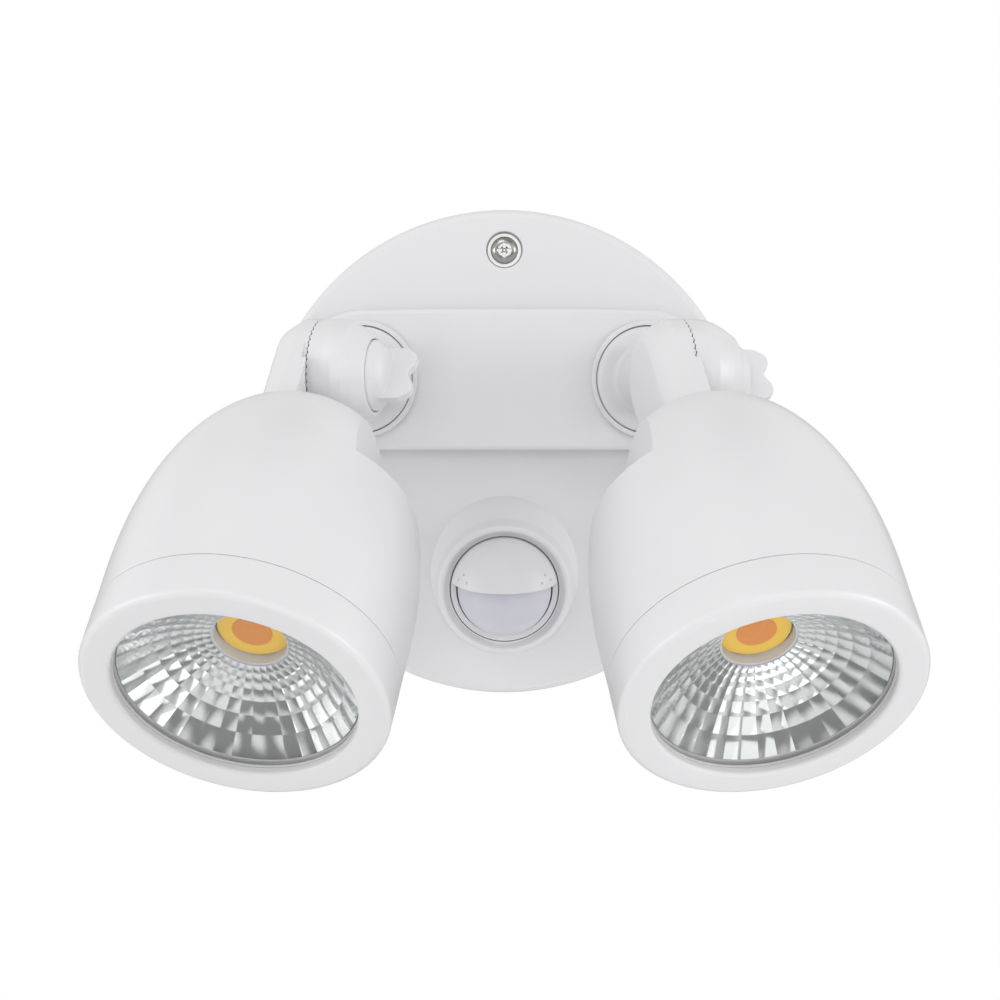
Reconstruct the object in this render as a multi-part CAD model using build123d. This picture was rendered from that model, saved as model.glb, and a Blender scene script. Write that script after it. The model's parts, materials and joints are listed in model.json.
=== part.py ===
"""Twin-head outdoor security light with a motion sensor, in millimetres.

The part's frame: the wall is the plane y = 0 and the light stands out of it towards -Y, +Z is up and
the origin is the centre of the mounting face. "Left" and "right" are as seen from the front.

Each lamp hangs on an arm that turns in a tilted seat on the base, and tilts about a toothed hinge
that a wing nut clamps. Every piece is a solid of its own, written to parts/.
"""
from build123d import *
import os
from math import cos, pi, radians, sin

os.makedirs("parts", exist_ok=True)

# --- Driving dimensions ------------------------------------------------------------------------
PLATE_R = 85.0              # round base, 170 mm across
PLATE_FRONT = 16.0          # how far the base's flat front stands off the wall
WALL = 2.8                  # thickness of the base moulding
REAR_LEDGE = 4.8            # depth of the ledge that the rear plate seals against

SEAT_X, SEAT_DEPTH, SEAT_Z = 49.8, 24.0, 24.9   # centre of each arm's seat on the base
PAN = 15.8                  # degrees that each seat faces outwards
ARM_REACH = 38.4            # from the seat to the hinge axis
TILT = 48.4                 # degrees that the lamps point below level in the photographed pose
HINGE_TO_FACE = 139.5       # from the hinge axis to the lamp's front face

HEAD_R = 50.4               # lamp housing
HEAD_SEAM = 16.5            # bezel joint, behind the front face
HEAD_SHOULDER = 30.0        # where the housing starts to round in
HEAD_TIP = 118.3            # rear end of the rounded housing
HEAD_WALL = 3.0
ROUNDNESS = 2.2             # exponent of the housing's rounded outline (2 is an ellipse)
LENS_OPENING_R = 40.0

KNUCKLE_R = 19.3            # both halves of the hinge
TEETH = 48                  # clamping teeth round the hinge
WING_LEAN = -32             # degrees that the wing nut's wing leans back at the top
SPLIT = -1.0                # the toothed joint lies 1 mm to the left of the arm's centre line

SENSOR_Z = -48.4            # motion sensor, below the centre
SENSOR_DEPTH = 20.5
SENSOR_DIP = 14.2           # degrees that the sensor looks down

SCREW_Z = 70.8              # front fixing screw
PAD_BOTTOM, PAD_TOP = 0.3, 49.4     # the raised band that carries the arms

# Base fittings
REAR_SCREWS = [(72 * cos(radians(a)), 72 * sin(radians(a))) for a in (45, 135, 225, 315)]
HOLE_SPACING = 84.0         # the wall bracket's two slots, centre to centre
BRACKET_THICK = 1.6
GROMMET_X, GROMMET_Z, GROMMET_R = 33.0, -8.0, 7.0   # cable entry
DIAL_X = (-14, 0, 14)       # adjusters in the recess under the rim
DIAL_DEPTH = 9.9            # of their axes from the wall
DIAL_FLOOR = -80.6          # height of the recess's ceiling
HOOD_R = 18.8               # turning hood round the sensor lens
HOOD_BORE = 16.9
HOOD_EDGE = 3.25            # lower edge of its half dome, over the middle of the lens
SENSOR_LENS_R = 16.4

# Hinge and arm
STUD_R = 3.0
STUD_CLEARANCE = 0.05
NECK_R = 11.7
SEAT_R = 18.9               # round recess that the arm's flange turns in
RECESS_FLOOR = 10.0         # where the wing nut bears in the arm
ARM_END = 17.4
FACE_GAP = 1.2              # height of the tooth rings over the flat hinge faces
GUARD_R = 21.4              # the ear steps up outside this radius, round the other half

# Lamp head, measured backwards from its front face
LIP = 3.0                   # depth of the bezel's inner lip
GLASS_FRONT, GLASS_REAR = 4.2, 7.2
GASKET_REAR = 8.2
SPIGOT = 10.9               # front of the housing's spigot
SINK_FRONT, SINK_REAR = 33.0, 36.0
SINK_SCREWS = [(42.8 * cos(radians(a)), 42.8 * sin(radians(a))) for a in (90, 210, 330)]
COB_BACK = 30.0             # rear of the light source's board
HOLDER_REAR = COB_BACK - 1.0
HOLDER_SCREW_X = (-16.4, 16.4)
REFLECTOR_NECK_R, REFLECTOR_MOUTH_R = 13.3, 40.0
REFLECTOR_NECK, REFLECTOR_MOUTH = 25.6, 8.25


# --- Frames ------------------------------------------------------------------------------------
class Side:
    """The directions and places of one lamp: sign is -1 on the left and +1 on the right."""

    def __init__(self, name, sign):
        self.name, self.sign = name, sign
        pan, tilt = radians(PAN), radians(TILT)
        self.out = Vector(sign * sin(pan), -cos(pan), 0)            # out of the seat
        self.across = Vector(cos(pan), sign * sin(pan), 0)          # along the hinge, left to right
        self.beam = Vector(sign * sin(pan) * cos(tilt), -cos(pan) * cos(tilt), -sin(tilt))
        self.seat_centre = Vector(sign * SEAT_X, -SEAT_DEPTH, SEAT_Z)
        self.hinge_centre = self.seat_centre + self.out * ARM_REACH
        self.face_centre = self.hinge_centre + self.beam * HINGE_TO_FACE
        lean = radians(WING_LEAN)
        wing_up = Vector(0, 0, 1) * cos(lean) + self.out * sin(lean)
        self.wing = Plane(self.hinge_centre, x_dir=wing_up, z_dir=self.across)
        self.seat = Plane(self.seat_centre, x_dir=self.across, z_dir=self.out)
        self.arm_hinge = Plane(self.hinge_centre, x_dir=self.out * -1, z_dir=self.across)
        self.head_hinge = Plane(self.hinge_centre, x_dir=self.beam, z_dir=self.across)
        self.head = Plane(self.face_centre, x_dir=self.across, z_dir=self.beam * -1)


SIDES = (Side("left", -1), Side("right", 1))
BASE = Plane((0, 0, 0), x_dir=(1, 0, 0), z_dir=(0, -1, 0))          # x, height, depth from the wall
DIP = radians(SENSOR_DIP)
EYE = Plane((0, -SENSOR_DEPTH, SENSOR_Z), x_dir=(1, 0, 0), z_dir=(0, -cos(DIP), -sin(DIP)))


# --- Small shapes --------------------------------------------------------------------------------
def section(*corners):
    """A flat face from its corners (x, y), or (x, y, rounding radius)."""
    points = [corner[:2] for corner in corners]
    radii = [corner[2] if len(corner) == 3 else 0 for corner in corners]
    return make_face(FilletPolyline(*points, radius=radii, close=True))


def spun(*corners):
    """A solid turned about Z from a section of (radius, height) corners."""
    return revolve(Plane.XZ * section(*corners), Axis.Z)


def disc(radius, low, high, x=0, y=0):
    return Pos(x, y, low) * Cylinder(radius, high - low, align=(Align.CENTER, Align.CENTER, Align.MIN))


def ring(outer, inner, low, high, x=0, y=0):
    return disc(outer, low, high, x, y) - disc(inner, low - 1, high + 1, x, y)


def block(width, height, low, high, x=0, y=0):
    return Pos(x, y, low) * Box(width, height, high - low, align=(Align.CENTER, Align.CENTER, Align.MIN))


def hexagon(across_flats, low, high):
    return Pos(0, 0, low) * extrude(RegularPolygon(across_flats / 2, 6, major_radius=False), high - low)


def write(name, shape):
    """Writes one sub-part, with its solids under the node's name."""
    pieces = shape if isinstance(shape, list) else [shape]
    solids = [solid for piece in pieces for solid in piece.solids()]
    kept = solids[0] if len(solids) == 1 else Compound(children=solids)
    kept.label = name
    export_step(kept, f"parts/{name}.step")
    print(f"{name:28s} {len(solids)} solid(s) {sum(s.volume for s in solids) / 1000:9.3f} cm3")


# --- Base ------------------------------------------------------------------------------------------
def pad(inset):
    """The raised band across the base: flat in the middle, sloping to each arm's seat."""
    slope = sin(radians(PAN)) / cos(radians(PAN))
    shelf_x = 23.0
    shelf = SEAT_DEPTH + (SEAT_X - shelf_x) * slope - inset
    end_x = SEAT_X + 30
    end = SEAT_DEPTH - 30 * slope - inset
    low = REAR_LEDGE if inset else 9
    profile = section((-end_x, low), (end_x, low), (end_x, end), (shelf_x, shelf, 45),
                      (-shelf_x, shelf, 45), (-end_x, end))
    height = PAD_TOP - PAD_BOTTOM - 2 * inset
    middle = (PAD_TOP + PAD_BOTTOM) / 2
    band = Pos(0, middle, 0) * extrude(Plane.XZ * profile, height, both=True)
    outline = Pos(0, middle, 0) * extrude(SlotCenterToCenter(2 * SEAT_X, height), 60)
    return band & outline


def base_cover():
    """White front moulding: disc, raised band, two seats, sensor collar and screw boss."""
    plate = spun((0, 2), (PLATE_R, 2), (PLATE_R, PLATE_FRONT, 3), (0, PLATE_FRONT))
    collar = EYE * spun((0, -14), (0, 0), (19.6, 0), (21.4, 1.9, 1.0), (23.2, 1.5, 1.2), (24.6, -3.2, 6),
                        (30.6, -12.5), (30.6, -14))
    front = BASE * block(200, 200, 11, 60)
    cavity = BASE * (disc(81.2, REAR_LEDGE, PLATE_FRONT - WALL) + pad(WALL))
    rear_recess = BASE * disc(83.2, 0, REAR_LEDGE)
    cover = BASE * (plate + pad(0)) + (collar & front) - cavity - rear_recess

    bosses = [disc(8.5, REAR_LEDGE - 0.6, 15, 0, SCREW_Z)]
    bosses += [disc(4.2, REAR_LEDGE, 14, x, y) for x, y in REAR_SCREWS]
    dial_shelf = block(52, 8, REAR_LEDGE, 15, 0, -82) & disc(PLATE_R - 1, 0, 15)
    cover += BASE * (Part() + bosses + dial_shelf)
    for side in SIDES:
        cover += side.seat * (disc(21.5, -5, -0.5) + ring(20.6, SEAT_R, -2, 1.5))
    cover += EYE * ring(21.5, 17.4, -9.4, -1)

    holes = [disc(6.4, 12, 20, 0, SCREW_Z), disc(2.8, 0, 20, 0, SCREW_Z)]
    holes += [disc(1.25, 4, 12, x, y) for x, y in REAR_SCREWS]
    cover -= BASE * (Part() + holes)
    for side in SIDES:
        cover -= side.seat * (disc(SEAT_R, -1.6, 12) + disc(8.3, -8, 0))
    cover -= EYE * (disc(19.2, -6.2, 20) + disc(17.4, -14, 0))
    cover -= BASE * block(48, 10, 6.2, 13.6, 0, DIAL_FLOOR - 5)
    for x in DIAL_X:
        cover -= Pos(x, -DIAL_DEPTH, DIAL_FLOOR) * Cylinder(1.7, 12)
    return cover


def rear_plate():
    """Inner plate that closes the base from behind."""
    plate = disc(83.0, 2.4, 4.2)
    plate -= disc(9.0, 2, 5, 0, SCREW_Z) + disc(GROMMET_R, 2, 5, GROMMET_X, GROMMET_Z)
    plate -= block(26, 6, 2, 5, 0, -60)
    for x, y in REAR_SCREWS:
        plate -= disc(1.5, 2, 5, x, y)
    return BASE * plate


def rear_screws():
    screws = []
    for x, y in REAR_SCREWS:
        screw = disc(1.2, 2.4, 10, x, y) + disc(2.7, 0.9, 2.4, x, y)
        screws.append(BASE * (screw - block(3.6, 0.7, 0.5, 1.5, x, y) - block(0.7, 3.6, 0.5, 1.5, x, y)))
    return screws


def wall_bracket():
    """Pressed steel strip that is screwed to the wall; a hook holds the base's foot."""
    strip = section((-12, -66, 2), (12, -66, 2), (12, 78, 8), (-12, 78, 8))
    bracket = extrude(strip, BRACKET_THICK) + disc(4.8, 1, 4.0, 0, SCREW_Z)
    hook = block(22, 1.4, 1, 5.6, 0, -60) + block(22, 6, 4.4, 5.6, 0, -62.3)
    bracket += hook
    bracket -= disc(2.5, -1, 6, 0, SCREW_Z)
    slot = extrude(Rot(0, 0, 90) * SlotOverall(10, 4.5), 4, both=True)
    for height in (-HOLE_SPACING / 2, HOLE_SPACING / 2):
        bracket -= Pos(0, height, 0) * slot
    return BASE * bracket


def fixing_screw():
    """Cross-head machine screw, sunk in the base's counterbore."""
    screw = spun((0, 0.4), (2.4, 0.4), (2.4, 12.6), (4.8, 12.6), (4.8, 14.2, 0.6), (3.0, 15.5, 3), (0, 15.5))
    for turn in (0, 90):
        screw -= Rot(0, 0, turn) * block(5.4, 1.1, 14.0, 17)
    screw -= Pos(0, 0, 13.2) * Cone(0.4, 1.5, 2.4, align=(Align.CENTER, Align.CENTER, Align.MIN))
    return BASE * Pos(0, SCREW_Z, 0) * screw


def cable_grommet():
    """Rubber grommet that the supply cable passes through."""
    sleeve = spun((4.0, 0.6), (6.6, 0.6, 0.8), (9.0, 2.4), (6.9, 2.4), (6.9, 4.2), (9.0, 4.2),
                  (8.4, 6.2, 0.8), (4.0, 6.8))
    return BASE * Pos(GROMMET_X, GROMMET_Z, 0) * sleeve


def terminal_block():
    """Three-way screw terminal that joins the supply."""
    body = block(34, 13, 5.2, 12.6, 0, -12) - block(36, 3, 10.5, 13, 0, -12)
    for x in (-10.5, 0, 10.5):
        body -= disc(2.2, 6.4, 13, x, -12)
        body -= Pos(x, -12, 7.6) * Rot(90, 0, 0) * Cylinder(1.7, 30)
    return BASE * body


def terminal_screws():
    return [BASE * (disc(2.0, 6.5, 9.8, x, -12) - block(5, 0.6, 9.2, 10, x, -12)) for x in (-10.5, 0, 10.5)]


def driver_case():
    """Plastic case of the lamp driver, open at the rear."""
    case = section((-22, 7, 2), (22, 7, 2), (22, 43, 2), (-22, 43, 2))
    hollow = section((-20.4, 8.6, 1), (20.4, 8.6, 1), (20.4, 41.4, 1), (-20.4, 41.4, 1))
    return BASE * (Pos(0, 0, 6) * extrude(case, 19.5) - Pos(0, 0, 5) * extrude(hollow, 18.9))


def driver_board():
    """Driver circuit board with its transformer, capacitors and coil."""
    board = block(40, 32, 8.0, 9.4, 0, 25)
    board += block(15, 13, 9.4, 20.5, -10, 29)
    board += disc(5.0, 9.4, 21.5, 8, 31) + disc(4.0, 9.4, 18, 8, 17) + ring(5.5, 2.2, 9.4, 14, -9, 16)
    return BASE * board


# --- Motion sensor ---------------------------------------------------------------------------------

def sensor_lens():
    """Milky dome that focuses heat radiation on the detector; only its lower half shows."""
    outer = Sphere(SENSOR_LENS_R) & disc(30, 0, 30)
    outer += disc(SENSOR_LENS_R, -5.5, 0) + disc(19.0, -6.1, -4.9)
    inner = Sphere(SENSOR_LENS_R - 1.1) & disc(30, -0.1, 30)
    inner += disc(SENSOR_LENS_R - 1.1, -8, 0)
    return EYE * (outer - inner)


def sensor_hood():
    """White ring with a half dome: turned about the lens, it masks one direction."""
    collar = ring(HOOD_R, HOOD_BORE, -4.8, 0.3)
    shell = (Sphere(HOOD_R) - Sphere(HOOD_R - 1.8)) & (Pos(0, HOOD_EDGE + 20, 20) * Box(60, 40, 40))
    hood = collar + shell
    for x, y in ((14.1, 7.8), (16.1, 5.6), (13.0, 5.6)):
        height = (HOOD_R ** 2 - x ** 2 - y ** 2) ** 0.5
        hood -= [Pos(sign * x, y, height) * Sphere(0.55) for sign in (-1, 1)]
    return EYE * hood


def sensor_board():
    board = disc(17.2, -9.2, -7.8)
    board += block(9, 6, -12, -9.2, -5, 3) + disc(2.6, -14, -9.2, 6, -4)
    return EYE * (board & disc(17.2, -20, 0))


def pyro_detector():
    """Metal can with a window."""
    return EYE * (disc(4.6, -7.8, -3.9) + disc(5.0, -7.8, -7.0) - block(4.2, 3.2, -4.5, -3))


def control_board():
    """Small board with the three adjusters of the sensor."""
    board = block(48, 6, 6.8, 8.0, 0, -73.4)
    for x in DIAL_X:
        body = block(7, 6, 8.0, 12.4, x, -73.4)
        board += body - Pos(x, -76.4, DIAL_DEPTH) * Rot(90, 0, 0) * Cylinder(1.5, 4)
    return BASE * board


def adjuster_dial(x):
    """Small dial in the recess under the base's rim, turned with a fingertip or screwdriver."""
    knob = Cylinder(3.2, 2.3, align=(Align.CENTER, Align.CENTER, Align.MAX))
    knob -= Pos(0, 0, -2.3) * Box(4.6, 0.9, 1.6)
    dial = Pos(0, 0, DIAL_FLOOR - 0.2) * knob
    dial += Pos(0, 0, DIAL_FLOOR - 0.2) * Cylinder(1.4, 5.6, align=(Align.CENTER, Align.CENTER, Align.MIN))
    return Pos(x, -DIAL_DEPTH, 0) * dial


# --- Arm -------------------------------------------------------------------------------------------
def tooth_ring(low, high, tips_low):
    """Ring of radial teeth; the tips point down or up."""
    inner_r, depth, width = 13.0, 0.7, 2.0
    teeth = ring(KNUCKLE_R, inner_r, low, high)
    tip = low if tips_low else high
    root = tip + depth if tips_low else tip - depth
    groove = make_face(Polyline((-width / 2, tip), (width / 2, tip), (0, root), close=True))
    cutter = Pos(0, -inner_r + 1, 0) * extrude(Plane.XZ * groove, KNUCKLE_R - inner_r + 3)
    return teeth - [Rot(0, 0, 360 * i / TEETH) * cutter for i in range(TEETH)]


def arm(side):
    """Cast arm: flange in the seat, short neck and the right-hand half of the hinge."""
    flange = spun((0, -1.5), (18.6, -1.5), (18.6, 1.3, 0.6), (17.0, 1.7, 0.3), (0, 1.7))
    neck = flange + disc(NECK_R, 0, ARM_REACH - KNUCKLE_R - 1.2) + disc(8.0, -15.5, 0)
    inner_neck = disc(NECK_R, 5, ARM_REACH) & block(60, 60, 0, 60, 30 + SPLIT + FACE_GAP)
    barrel = spun((0, SPLIT + FACE_GAP), (KNUCKLE_R, SPLIT + FACE_GAP), (KNUCKLE_R, 9, 16),
                  (13.6, ARM_END, 0.8), (12.4, ARM_END), (12.4, RECESS_FLOOR), (0, RECESS_FLOOR))
    teeth = tooth_ring(SPLIT + 0.05, SPLIT + FACE_GAP, tips_low=True)
    casting = side.seat * (neck + inner_neck) + side.arm_hinge * (barrel + teeth)
    casting -= side.arm_hinge * disc(12.4, RECESS_FLOOR, 40)
    casting -= side.arm_hinge * (disc(STUD_R + 0.1, -5, 20) + ring(12, 5.5, -5, 4))
    casting -= side.seat * (disc(4.0, -20, 8) + disc(2.9, 4, 31, 4.2))
    casting -= side.seat * ring(14.0, 12.0, -2, -0.3)
    return casting


def wing_nut(side):
    """Plastic wing nut: a domed disc sunk in the arm's end, with one flat wing across it."""
    knob = spun((0, RECESS_FLOOR + 0.2), (12.1, RECESS_FLOOR + 0.2), (12.1, 17.6, 1.2),
                (8.6, 22.4, 6), (0, 23.2))
    wing = section((-10.2, 12), (10.2, 12), (10.2, 27, 3), (7.4, 31.8, 3), (3.2, 31.0, 2), (0, 28.3, 2.6),
                   (-3.2, 31.0, 2), (-7.4, 31.8, 3), (-10.2, 27, 3))
    nut = knob + extrude(Plane.XZ * wing, 1.6, both=True)
    nut -= hexagon(10.1, 9, 16.6)
    return side.wing * nut


def wing_nut_insert(side):
    insert = hexagon(10.0, RECESS_FLOOR + 0.1, 16.5) - disc(STUD_R + 0.08, 0, 20)
    return side.wing * insert


def arm_nut(side):
    return side.seat * (hexagon(22, -10.4, -6.3) - disc(8.05, -12, 0))


def arm_washer(side):
    return side.seat * ring(12.5, 8.4, -6.2, -5.1)


def arm_seal(side):
    return side.seat * spun((12.05, -1.55), (13.95, -1.55), (13.95, -0.35, 0.5), (12.05, -0.35, 0.5))


# --- Lamp head -------------------------------------------------------------------------------------
def bullet(radius, front, shoulder, tip):
    """Straight from front to shoulder, then rounded to the tip; z runs backwards from the face."""
    steps = 9
    dome = []
    for i in range(steps + 1):
        angle = pi / 2 * i / steps
        share = 2 / ROUNDNESS
        dome.append((radius * cos(angle) ** share, shoulder + (tip - shoulder) * sin(angle) ** share))
    dome[-1] = (0, tip)
    outline = [Polyline((0, tip), (0, front), (radius, front), (radius, shoulder)),
               Spline(*dome, tangents=((0, 1), (-1, 0)))]
    return revolve(Plane.XZ * make_face(Curve() + outline), Axis.Z)


def facet(side, inset):
    """What the flat on the housing's inner side takes away, and inside the wall inset by its thickness."""
    start, near, slope = 77.0, 31.6, 0.24
    front, rear = start - inset, 130
    edge = near - inset
    cut = section((edge, front), (70, front), (70, rear), (edge - slope * (rear - front), rear))
    wedge = extrude(Plane.XZ * cut, 70, both=True)
    return wedge if side.sign < 0 else mirror(wedge, Plane.YZ)


def ear():
    """Left-hand half of the hinge, in the hinge's frame: x runs to the lamp, z along the hinge."""
    outer, edge = -15.0, -6.4
    root = SPLIT - FACE_GAP
    turned = spun((0, outer), (14.4, outer, 2.5), (KNUCKLE_R, edge, 2), (KNUCKLE_R, root), (0, root))
    across = section((-14.4, outer, 2.5), (14.4, outer, 2.5), (KNUCKLE_R, edge, 2), (KNUCKLE_R, root),
                     (-KNUCKLE_R, root), (-KNUCKLE_R, edge, 2))
    straight = extrude(Plane.YZ * across, 42)
    guard = Pos(21, 0, 0) * block(42, 2 * KNUCKLE_R, root - 1, SPLIT + 0.8) - disc(GUARD_R, root - 2, 5)
    return turned + straight + guard + tooth_ring(root, SPLIT - 0.05, tips_low=False)


def head_housing(side):
    """Cast lamp housing with its hinge ear, and the flat on its inner side."""
    shell = bullet(HEAD_R, HEAD_SEAM, HEAD_SHOULDER, HEAD_TIP) - facet(side, 0)
    shell += disc(46.8, SPIGOT, HEAD_SEAM + 4)
    cavity = bullet(HEAD_R - HEAD_WALL, HEAD_SEAM + 4, HEAD_SHOULDER, HEAD_TIP - 12) - facet(side, HEAD_WALL)
    cavity += disc(44.2, 5, HEAD_SEAM + 5)
    shell = side.head * shell + side.head_hinge * ear()
    shell -= side.head * cavity
    shell += side.head * (Part() + [disc(4.6, SINK_REAR, 48, x, y) for x, y in SINK_SCREWS])
    shell -= side.head * (Part() + [disc(1.25, SINK_REAR - 1, 46, x, y) for x, y in SINK_SCREWS])
    shell -= side.head_hinge * stud(STUD_CLEARANCE)
    shell -= side.head_hinge * (ring(12, 5.5, -5.5, 5) + Pos(9, 0, -7.5) * Rot(0, 90, 0) * disc(2.9, 0, 50))
    return shell


def stud(clearance):
    """Steel stud cast into the ear: hexagon head and shank."""
    return hexagon(10 + 2 * clearance, -12 - clearance, -8.4 + clearance) + disc(STUD_R + clearance, -9, 16.4)


def bezel():
    """White front ring that clamps the glass; screwed on to the housing's spigot."""
    return spun((LENS_OPENING_R, LIP), (LENS_OPENING_R, 0, 1.4), (HEAD_R + 0.2, 0, 2.4),
                (HEAD_R + 0.1, HEAD_SEAM - 0.3, 0.3), (47.0, HEAD_SEAM - 0.3), (47.0, LIP))


def lens_glass():
    return spun((0, GLASS_FRONT), (43.5, GLASS_FRONT, 0.5), (43.5, GLASS_REAR, 0.5), (0, GLASS_REAR))


def lens_gasket():
    """Grey silicone channel round the glass; its lips line the opening."""
    lip_r, channel_r, outer_r = LENS_OPENING_R - 0.3, 43.6, 46.4
    front, channel_front, channel_rear = LIP + 0.05, GLASS_FRONT - 0.05, GLASS_REAR + 0.05
    return spun((lip_r, front, 0.4), (outer_r, front), (outer_r, GASKET_REAR), (lip_r, GASKET_REAR, 0.4),
                (lip_r, channel_rear), (channel_r, channel_rear), (channel_r, channel_front),
                (lip_r, channel_front))


def bowl_depth(radius):
    """Depth of the reflector's bowl behind the face at a radius: a parabola."""
    bend = (REFLECTOR_NECK - REFLECTOR_MOUTH) / (REFLECTOR_MOUTH_R ** 2 - REFLECTOR_NECK_R ** 2)
    return REFLECTOR_NECK - bend * (radius ** 2 - REFLECTOR_NECK_R ** 2)


def reflector():
    """Bright bowl with a flange that the glass presses on the housing."""
    steps, thick = 6, 1.2
    radii = [REFLECTOR_NECK_R + (REFLECTOR_MOUTH_R - REFLECTOR_NECK_R) * i / steps for i in range(steps + 1)]
    bright = [(r, bowl_depth(r)) for r in radii]
    back = [(r + 0.7 * thick, z + thick) for r, z in reversed(bright)]
    flange = [(46.4, REFLECTOR_MOUTH), (46.4, REFLECTOR_MOUTH + thick), back[0]]
    outline = [Spline(*bright), Polyline(bright[-1], *flange), Spline(*back), Line(back[-1], bright[0])]
    return revolve(Plane.XZ * make_face(Curve() + outline), Axis.Z)


def head_seal():
    return spun((44.3, 9.5), (46.6, 9.5, 0.4), (46.6, SPIGOT - 0.05, 0.4), (44.3, SPIGOT - 0.05))


def led_holder():
    """Ring that stands in the reflector's neck and screws the light source down."""
    holder = ring(13.2, 12.2, 25.2, HOLDER_REAR) + ring(19.2, 12.2, HOLDER_REAR - 1.1, HOLDER_REAR)
    for x in HOLDER_SCREW_X:
        holder += disc(2.0, HOLDER_REAR, COB_BACK, x)
        holder -= disc(1.9, 20, HOLDER_REAR, x) + disc(1.1, 20, COB_BACK + 1, x)
    return holder


def led_holder_screws():
    return [disc(1.0, HOLDER_REAR, 32.5, x) + disc(1.8, HOLDER_REAR - 1.05, HOLDER_REAR, x)
            - block(2.6, 0.5, HOLDER_REAR - 2, HOLDER_REAR - 0.6, x) for x in HOLDER_SCREW_X]


def led_board():
    """Square board with the round light source on it."""
    return block(22, 22, COB_BACK - 0.95, COB_BACK) + disc(11.5, COB_BACK - 1.5, COB_BACK - 0.95)


def heat_sink():
    """Aluminium plate that carries the light source, with fins in the housing."""
    sink = disc(46.8, SINK_FRONT, SINK_REAR) + disc(19.5, COB_BACK, SINK_FRONT)
    for i in range(-3, 4):
        reach = (34.0 ** 2 - (9.0 * i) ** 2) ** 0.5
        sink += block(2.2, 2 * reach, SINK_REAR, 58, 9.0 * i)
    for x, y in SINK_SCREWS:
        sink -= disc(1.6, 30, 40, x, y)
    for x in HOLDER_SCREW_X:
        sink -= disc(1.1, 20, 33, x)
    return sink


def heat_sink_screws():
    return [disc(1.2, SINK_FRONT, 44, x, y) + disc(2.7, 31.3, SINK_FRONT, x, y)
            - block(3.8, 0.8, 31, 32, x, y) - block(0.8, 3.8, 31, 32, x, y) for x, y in SINK_SCREWS]


# --- Build -----------------------------------------------------------------------------------------
write("base_cover", base_cover())
write("rear_plate", rear_plate())
write("rear_plate_screws", rear_screws())
write("rear_plate_seal", BASE * ring(83.1, 81.4, 4.25, 4.75))
write("wall_gasket", BASE * ring(85.0, 79.0, 0, 1.95))
write("wall_bracket", wall_bracket())
write("fixing_screw", fixing_screw())
write("fixing_screw_washer", BASE * ring(5.9, 2.6, 12.05, 12.55, 0, SCREW_Z))
write("cable_grommet", cable_grommet())
write("terminal_block", terminal_block())
write("terminal_screws", terminal_screws())
write("driver_case", driver_case())
write("driver_board", driver_board())
write("sensor_lens", sensor_lens())
write("sensor_hood", sensor_hood())
write("sensor_board", sensor_board())
write("pyro_detector", pyro_detector())
write("control_board", control_board())
for dial, x in zip(("lux_dial", "time_dial", "range_dial"), DIAL_X):
    write(dial, adjuster_dial(x))

for side in SIDES:
    write(f"{side.name}_arm", arm(side))
    write(f"{side.name}_arm_nut", arm_nut(side))
    write(f"{side.name}_arm_washer", arm_washer(side))
    write(f"{side.name}_arm_seal", arm_seal(side))
    write(f"{side.name}_wing_nut", wing_nut(side))
    write(f"{side.name}_wing_nut_insert", wing_nut_insert(side))
    write(f"{side.name}_hinge_stud", side.head_hinge * stud(0))
    write(f"{side.name}_head_housing", head_housing(side))
    head_pieces = {"bezel": bezel(), "lens_glass": lens_glass(), "lens_gasket": lens_gasket(),
                   "head_seal": head_seal(), "reflector": reflector(), "led_holder": led_holder(),
                   "led_holder_screws": led_holder_screws(), "heat_sink": heat_sink(),
                   "heat_sink_screws": heat_sink_screws(),
                   "led_board": led_board(), "led_phosphor": disc(6.6, COB_BACK - 1.8, COB_BACK - 1.5)}
    for name, piece in head_pieces.items():
        solids = piece if isinstance(piece, list) else [piece]
        write(f"{side.name}_{name}", [side.head * solid for solid in solids])
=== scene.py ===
"""Twin-lamp motion sensor security light: how each piece looks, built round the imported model."""
import json
from collections import Counter
from math import atan2, cos, hypot, pi, radians, sin, tan

import bpy
from mathutils import Matrix, Vector


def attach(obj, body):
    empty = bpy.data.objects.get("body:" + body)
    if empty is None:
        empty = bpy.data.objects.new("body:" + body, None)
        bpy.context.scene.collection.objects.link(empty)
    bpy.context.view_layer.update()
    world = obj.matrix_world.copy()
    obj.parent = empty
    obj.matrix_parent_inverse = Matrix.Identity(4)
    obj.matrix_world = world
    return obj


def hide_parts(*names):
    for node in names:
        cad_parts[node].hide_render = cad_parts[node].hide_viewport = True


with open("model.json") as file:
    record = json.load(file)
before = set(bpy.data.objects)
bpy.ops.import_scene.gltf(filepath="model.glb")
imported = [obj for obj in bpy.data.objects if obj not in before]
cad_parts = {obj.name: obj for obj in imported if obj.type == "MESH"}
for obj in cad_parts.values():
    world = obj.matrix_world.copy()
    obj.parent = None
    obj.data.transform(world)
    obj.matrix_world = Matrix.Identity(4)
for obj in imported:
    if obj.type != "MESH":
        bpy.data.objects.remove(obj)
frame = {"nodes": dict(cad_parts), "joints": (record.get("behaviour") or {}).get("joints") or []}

nodes = frame["nodes"]
joints = {joint["name"]: joint for joint in frame["joints"]}
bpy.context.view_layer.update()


# --- Studio ----------------------------------------------------------------------------------------
# A plain pale floor well below the light, a white surround that mirrors see as screens of uneven grey,
# a large soft lamp above and one in front, a fill from each side, and three low soft boxes that the
# mirrored bowls catch. The camera stands level, 1.3 m out from the wall.
CAMERA_DISTANCE = 1.3
CAMERA_HEIGHT = -0.0172
CAMERA_LENS = 131.47
PICTURE_SHIFT = -0.0044
FLOOR_HEIGHT, FLOOR_SIZE = -0.42, 2.6

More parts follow.
